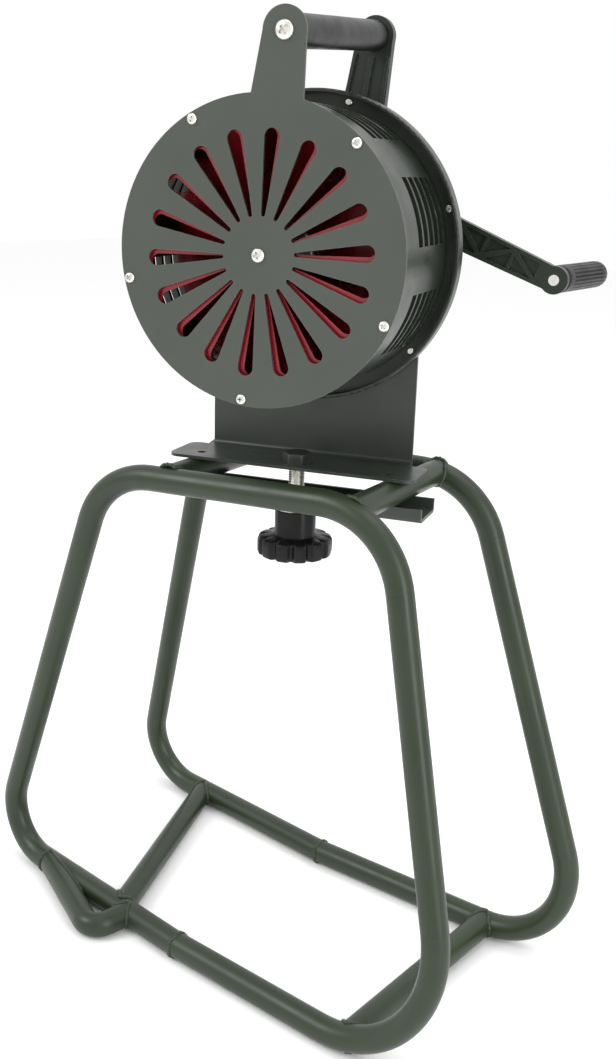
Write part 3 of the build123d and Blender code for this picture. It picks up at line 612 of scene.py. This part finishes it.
up3, up0 = Vector((0, 0, 0.0035)), Vector((0, 0, 0.0005))
pairs = {
    "top_left": (T(-66, -79.4, 426), T(-66, 79.4, 426)),
    "top_right": (T(105, -79.4, 426), T(105, 79.4, 426)),
    "bottom_left": (on_line(N_BL, N_WELD, -92), on_line(F_BL, F_WELD, -188)),
    "bottom_right": (on_line(N_WELD, N_BR, 175) + up3, on_line(F_WELD, F_BR, 175) + up0),
}
seed = 0.3
for nm, (p, q) in pairs.items():
    saddle(p, q, near_runs, 1.9, seed, "weld_" + nm + "_near")
    saddle(q, p, far_runs, 1.9, seed + 1.7, "weld_" + nm + "_far")
    seed += 0.9
FA, FB, FV = on_line(N_BL, N_WELD, -203), on_line(N_BL, N_WELD, -81), W(-87, -156, 11)
saddle(FA, FV, near_runs, 1.7, 5.1, "weld_foot_left")
saddle(FB, FV, near_runs, 1.7, 6.3, "weld_foot_right")

# butt welds that close the two loops
for nm, wpt, a, b, sd in (("near", N_WELD, N_BL, N_BR, 2.2), ("far", F_WELD, F_BL, F_BR, 3.4)):
    d = (b - a).normalized()
    R = basis(d)
    n = 96
    path = [wpt + R @ Vector((cos(2 * pi * k / n), sin(2 * pi * k / n), 0)) * (10.9 * MM) + d * (0.0006 * sin(5 * 2 * pi * k / n)) for k in range(n)]
    normals = [(p - wpt).normalized() for p in path]
    # the bead is dressed flush where the loop stands on the floor
    v, f = bead(path, normals, 1.7, sd)
    v = [Vector((p.x, p.y, max(p.z, 0.0001))) for p in v]
    make("weld_butt_" + nm, v, f, M["frame_paint"], "stand", (), angle=60)

# ---------------------------------------------------------------- stage, light, camera
bpy.ops.mesh.primitive_plane_add(size=16, location=(0, 0, -0.0004))
floor = bpy.context.object
floor.name = "floor"
fm = bpy.data.materials.new("floor_paper")
fm.use_nodes = True
fb = fm.node_tree.nodes["Principled BSDF"]
fb.inputs["Base Color"].default_value = (0.97, 0.97, 0.97, 1)
fb.inputs["Roughness"].default_value = 0.9
floor.data.materials.append(fm)

world = bpy.data.worlds.new("studio")
scene.world = world
world.use_nodes = True
world.node_tree.nodes["Background"].inputs["Color"].default_value = (1.0, 1.0, 1.0, 1)
world.node_tree.nodes["Background"].inputs["Strength"].default_value = 1.0


def area(name, loc, target, size, power, color=(1, 1, 1)):
    ld = bpy.data.lights.new(name, "AREA")
    ld.shape = "RECTANGLE"
    ld.size, ld.size_y = size
    ld.energy = power
    ld.color = color
    lo = bpy.data.objects.new(name, ld)
    scene.collection.objects.link(lo)
    lo.location = loc
    lo.rotation_euler = (Vector(target) - Vector(loc)).to_track_quat("-Z", "Y").to_euler()
    return lo


area("key", (-1.2, -1.9, 2.1), (0, 0, 0.5), (1.3, 1.3), 30)
area("side", (2.2, -0.5, 1.2), (0, 0, 0.5), (0.7, 2.0), 22)
area("top", (0.2, 0.4, 2.6), (0, 0, 0.5), (1.8, 1.8), 18)

az, el, roll = radians(-38.5), radians(16.72), radians(1.79)
d = Vector((sin(az) * cos(el), cos(az) * cos(el), -sin(el)))
r = Vector((cos(az), -sin(az), 0))
u = r.cross(d)
r2 = r * cos(roll) + u * sin(roll)
u2 = u * cos(roll) - r * sin(roll)
cam = bpy.data.cameras.new("camera")
cam.lens = 1200.0 * 36.0 / 1059.0
cam.sensor_width = 36.0
cam.sensor_fit = "AUTO"
cam.clip_start = 0.01
co = bpy.data.objects.new("camera", cam)
scene.collection.objects.link(co)
loc = W(637.4, -770.0, 674.5)
co.matrix_world = Matrix(((r2.x, u2.x, -d.x, loc.x), (r2.y, u2.y, -d.y, loc.y), (r2.z, u2.z, -d.z, loc.z), (0, 0, 0, 1)))
scene.camera = co
scene.view_settings.view_transform = "Standard"
